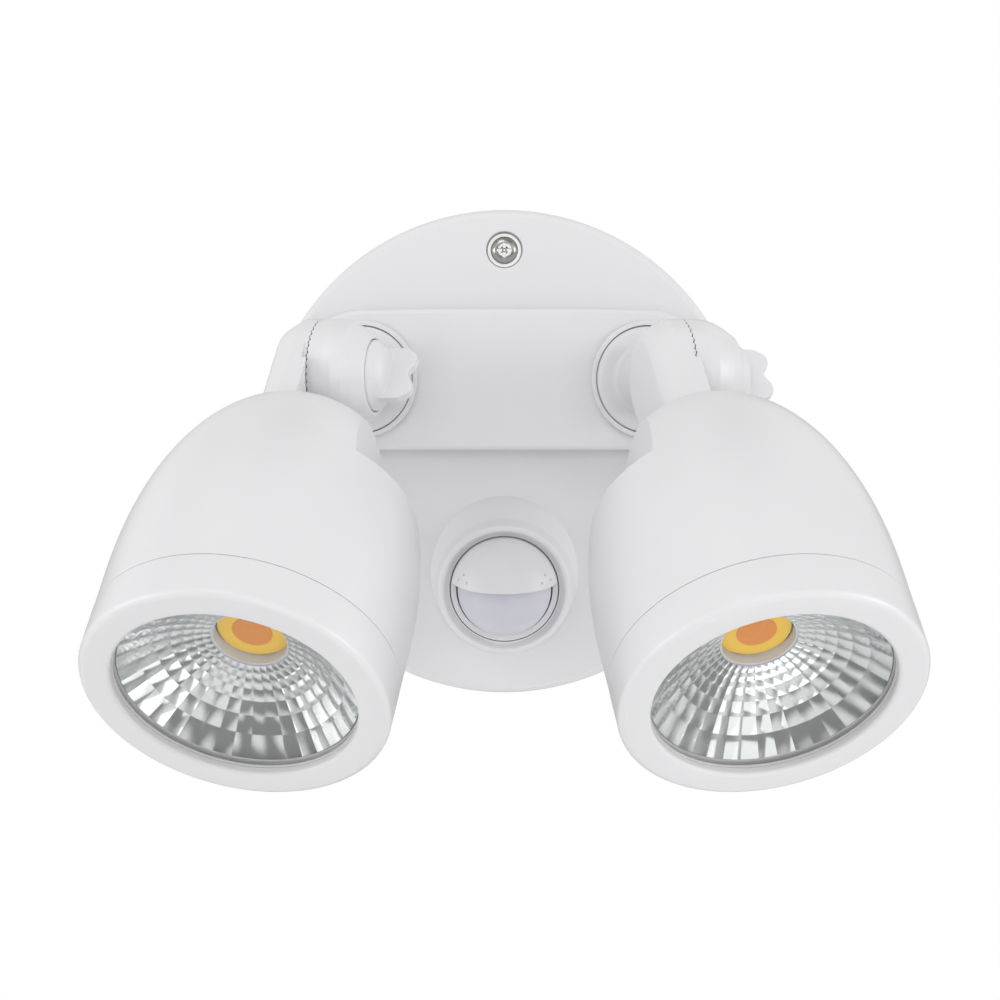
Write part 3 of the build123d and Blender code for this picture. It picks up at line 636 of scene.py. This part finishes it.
for side in SIDES:
    head, ear = places[side]["head"], places[side]["ear"]
    shell = bullet(f"{side}_head_casting", HEAD_R, 8, HEAD_TIP)
    combine(shell, facet(side, 0), "DIFFERENCE")
    change(shell, "BEVEL", width=0.8, segments=3, limit_method="ANGLE", angle_limit=radians(15))
    root = SPLIT - FACE_GAP
    end = rounded((0, -15), (14.4, -15, 6), (KNUCKLE_R, -6.4, 1.2), (KNUCKLE_R, root), (0, root))
    across = rounded((-14.4, -15, 6), (14.4, -15, 6), (KNUCKLE_R, -6.4, 1.2), (KNUCKLE_R, root),
                     (-KNUCKLE_R, root), (-KNUCKLE_R, -6.4, 1.2))
    lug = turned("ear", end)
    strap = prism("strap", across, 0, EAR_LENGTH)
    strap.data.transform(plane_of((0, 0, 0), (0, 1, 0), (1, 0, 0)))
    guard_box = [(0, -KNUCKLE_R), (EAR_LENGTH, -KNUCKLE_R), (EAR_LENGTH, KNUCKLE_R), (0, KNUCKLE_R)]
    guard = prism("guard", guard_box, root - 1, SPLIT + 0.8)
    combine(guard, turned("guard_cut", [(0, -9), (GUARD_R, -9), (GUARD_R, 5), (0, 5)]), "DIFFERENCE")
    cast(0.4, 1, lug, strap, guard)
    shell.data.transform(head)
    combine(shell, lug, "UNION", ear)
    combine(shell, tooth_ring(root, SPLIT - 0.05), "UNION", ear)

    # The cutters reach past the shell, and the front one is turned half a side off it, so that no edges
    # lie along each other.
    reach = HEAD_R + 9.6
    front = [(SPIGOT_R, 0), (reach, 0), (reach, HEAD_SEAM), (SPIGOT_R, HEAD_SEAM)]
    half_side = Matrix.Rotation(pi / HEAD_SIDES, 4, "Z")
    combine(shell, turned("front_cut", front, HEAD_SIDES), "DIFFERENCE", head @ half_side)
    inside = bullet("inside", HEAD_R - HEAD_WALL, HEAD_SEAM + 4, HEAD_TIP - 12, 96)
    combine(inside, facet(side, HEAD_WALL), "DIFFERENCE")
    bore_end = HEAD_SEAM + 5
    mouth = [(0, 0), (reach, 0), (reach, SPIGOT), (SPIGOT_BORE, SPIGOT), (SPIGOT_BORE, bore_end),
             (0, bore_end)]
    combine(inside, turned("mouth", mouth, 96), "UNION")
    combine(shell, inside, "DIFFERENCE", head)
    settle(shell, f"{side}_head", powder_coat, "white_powder_coat", f"{side}_head_housing")
    change(shell, "WEIGHTED_NORMAL", keep_sharp=True)
    coat(steel, f"{side}_hinge_stud")
    coat(black_rubber, f"{side}_head_seal")


# --- Light source ----------------------------------------------------------------------------------
# Finned aluminium heat sink on three screws, and on it the white board with a round field of yellow
# phosphor gel, orange over the densest chips, held by a pale ring with two screws.
aluminium = finish("heat_sink_aluminium", (0.7, 0.71, 0.72), 0.35, metallic=1.0, grains=1500, stretch=0.1,
                   bump=0.08)
holder_ring = finish("holder_ring", (0.7, 0.72, 0.78), 0.35, grains=2500)
yellow_gel = finish("yellow_gel", (0.93, 0.57, 0.03), 0.28, grains=1200, bump=0.04, uneven=0.05,
                    Specular_IOR_Level=0.25)
orange_gel = finish("orange_gel", (0.8, 0.26, 0.012), 0.28, grains=1200, bump=0.04, uneven=0.05,
                    Specular_IOR_Level=0.25)
for side in SIDES:
    coat(aluminium, f"{side}_heat_sink")
    coat(steel, f"{side}_heat_sink_screws", f"{side}_led_holder_screws")
    coat(holder_ring, f"{side}_led_holder")
    coat(yellow_gel, f"{side}_led_board")
    coat(orange_gel, f"{side}_led_phosphor")


# --- Reflectors ------------------------------------------------------------------------------------
# Vacuum-metallised plastic bowls. Their face is 7 rings of 40 small pillow-shaped mirrors, nearly
# square and so wider towards the mouth, with a flat flange behind the glass.
RINGS, FACETS, FACET_STEPS = 7, 40, 6
NECK, MOUTH = (13.3, 25.6), (40.0, 8.25)    # radius and depth behind the face
PILLOW = 0.08                               # height of a facet's crown, as a share of its width
FACET_ANGLE = 9                             # creases sharper than this stay crisp, in degrees
REFLECTOR_WALL = 1.1
FLANGE_R = 46.3


def bowl_point(out, around):
    """A point on the faceted bowl: out runs 0 to 7 from the neck, around 0 to 40."""
    radius = NECK[0] * (MOUTH[0] / NECK[0]) ** (out / RINGS)
    bend = (NECK[1] - MOUTH[1]) / (MOUTH[0] ** 2 - NECK[0] ** 2)
    depth = NECK[1] - bend * (radius ** 2 - NECK[0] ** 2)
    u, v = out % 1, around % 1
    crown = PILLOW * 2 * pi * radius / FACETS * 2 * (u * (1 - u) + v * (1 - v))
    slope = hypot(1, 2 * bend * radius)
    radius -= crown * 2 * bend * radius / slope
    depth -= crown / slope
    angle = 2 * pi * around / FACETS
    return radius * cos(angle), radius * sin(angle), depth


mirror = finish("mirror", (0.9, 0.905, 0.91), 0.1, metallic=1.0, grains=900, bump=0.01, uneven=0.01,
                rough_range=0.02)
columns, rows = FACETS * FACET_STEPS, RINGS * FACET_STEPS
bpy.ops.object.select_all(action="DESELECT")
bpy.ops.mesh.primitive_grid_add(x_subdivisions=columns, y_subdivisions=rows, size=2)
bowl = bpy.context.object
bowl.name = "faceted_bowl"
for vertex in bowl.data.vertices:
    around = round((vertex.co.x + 1) / 2 * columns) / FACET_STEPS
    out = round((vertex.co.y + 1) / 2 * rows) / FACET_STEPS
    vertex.co = bowl_point(out, around)
bpy.ops.object.mode_set(mode="EDIT")
bpy.ops.mesh.select_all(action="SELECT")
bpy.ops.mesh.remove_doubles(threshold=0.001)
bpy.ops.mesh.normals_make_consistent(inside=False)
bpy.ops.mesh.select_mode(type="EDGE")
bpy.ops.mesh.select_all(action="DESELECT")
bpy.ops.object.mode_set(mode="OBJECT")
for edge in bowl.data.edges:
    edge.select = all(hypot(*bowl.data.vertices[i].co[:2]) > MOUTH[0] - 0.01 for i in edge.vertices)
flange_growth = FLANGE_R / MOUTH[0]
bpy.ops.object.mode_set(mode="EDIT")
bpy.ops.mesh.extrude_region_move()
bpy.ops.transform.resize(value=(flange_growth, flange_growth, 1), center_override=(0, 0, MOUTH[1]))
bpy.ops.object.mode_set(mode="OBJECT")
change(bowl, "SOLIDIFY", thickness=REFLECTOR_WALL, offset=-1)
for side in SIDES:
    settle(copy_of(bowl, f"{side}_faceted_bowl"), f"{side}_head", mirror, "mirror_reflector",
           f"{side}_reflector", place=places[side]["head"], angle=FACET_ANGLE)
bpy.data.objects.remove(bowl)


# --- Glass and gasket ------------------------------------------------------------------------------
# A 3 mm toughened glass disc in a channel of grey silicone, whose two soft lips line the opening.
glass = bpy.data.materials.new("clear_glass")
glass.use_nodes = True
glass_shader = glass.node_tree.nodes["Principled BSDF"]
glass_shader.inputs["Base Color"].default_value = (0.97, 0.985, 0.98, 1)
glass_shader.inputs["Roughness"].default_value = 0.0
glass_shader.inputs["IOR"].default_value = 1.45
glass_shader.inputs["Transmission Weight"].default_value = 1.0
clear = glass.node_tree.nodes.new("ShaderNodeBsdfTransparent")
through = glass.node_tree.nodes.new("ShaderNodeMixShader")
glass_ray = glass.node_tree.nodes.new("ShaderNodeLightPath")
lets_light_in = glass.node_tree.nodes.new("ShaderNodeMath")
lets_light_in.operation = "MAXIMUM"
glass.node_tree.links.new(glass_ray.outputs["Is Shadow Ray"], lets_light_in.inputs[0])
glass.node_tree.links.new(glass_ray.outputs["Is Diffuse Ray"], lets_light_in.inputs[1])
glass.node_tree.links.new(lets_light_in.outputs[0], through.inputs["Fac"])
glass.node_tree.links.new(glass_shader.outputs[0], through.inputs[1])
glass.node_tree.links.new(clear.outputs[0], through.inputs[2])
glass.node_tree.links.new(through.outputs[0], glass.node_tree.nodes["Material Output"].inputs["Surface"])
OPENING_R = 40.0
LIP = 3.0                   # depth of the bezel's inner lip
GASKET_R, GLASS_R = 46.4, 43.6
gasket_lip = OPENING_R - 0.3
channel = rounded((gasket_lip, LIP + 0.05, 0.5), (GASKET_R, LIP + 0.05), (GASKET_R, 8.2),
                  (gasket_lip, 8.2, 0.45), (gasket_lip, 7.25, 0.45), (GLASS_R, 7.25), (GLASS_R, 4.15),
                  (gasket_lip, 4.15, 0.5))
gasket = turned("gasket_channel", channel, 160)
for side in SIDES:
    coat(glass, f"{side}_lens_glass")
    settle(copy_of(gasket, f"{side}_gasket_channel"), f"{side}_head", grey_silicone, "grey_silicone",
           f"{side}_lens_gasket", place=places[side]["head"])
bpy.data.objects.remove(gasket)


# --- Bezels ----------------------------------------------------------------------------------------
# Powder-coated rings screwed on to the housings, which press glass, gasket and reflector home.
THREAD_R = 47.0
bezel_rear = HEAD_SEAM - 0.15
ring = rounded((OPENING_R, LIP, 0.2), (OPENING_R, 0, 1.4), (HEAD_R + 0.2, 0, 2.4),
               (HEAD_R + 0.1, bezel_rear, 0.3), (THREAD_R, bezel_rear), (THREAD_R, LIP))
bezel = turned("bezel_ring", ring, 192)
for side in SIDES:
    settle(copy_of(bezel, f"{side}_bezel_ring"), f"{side}_head", powder_coat, "white_powder_coat",
           f"{side}_bezel", place=places[side]["head"])
bpy.data.objects.remove(bezel)


bpy.context.view_layer.update()
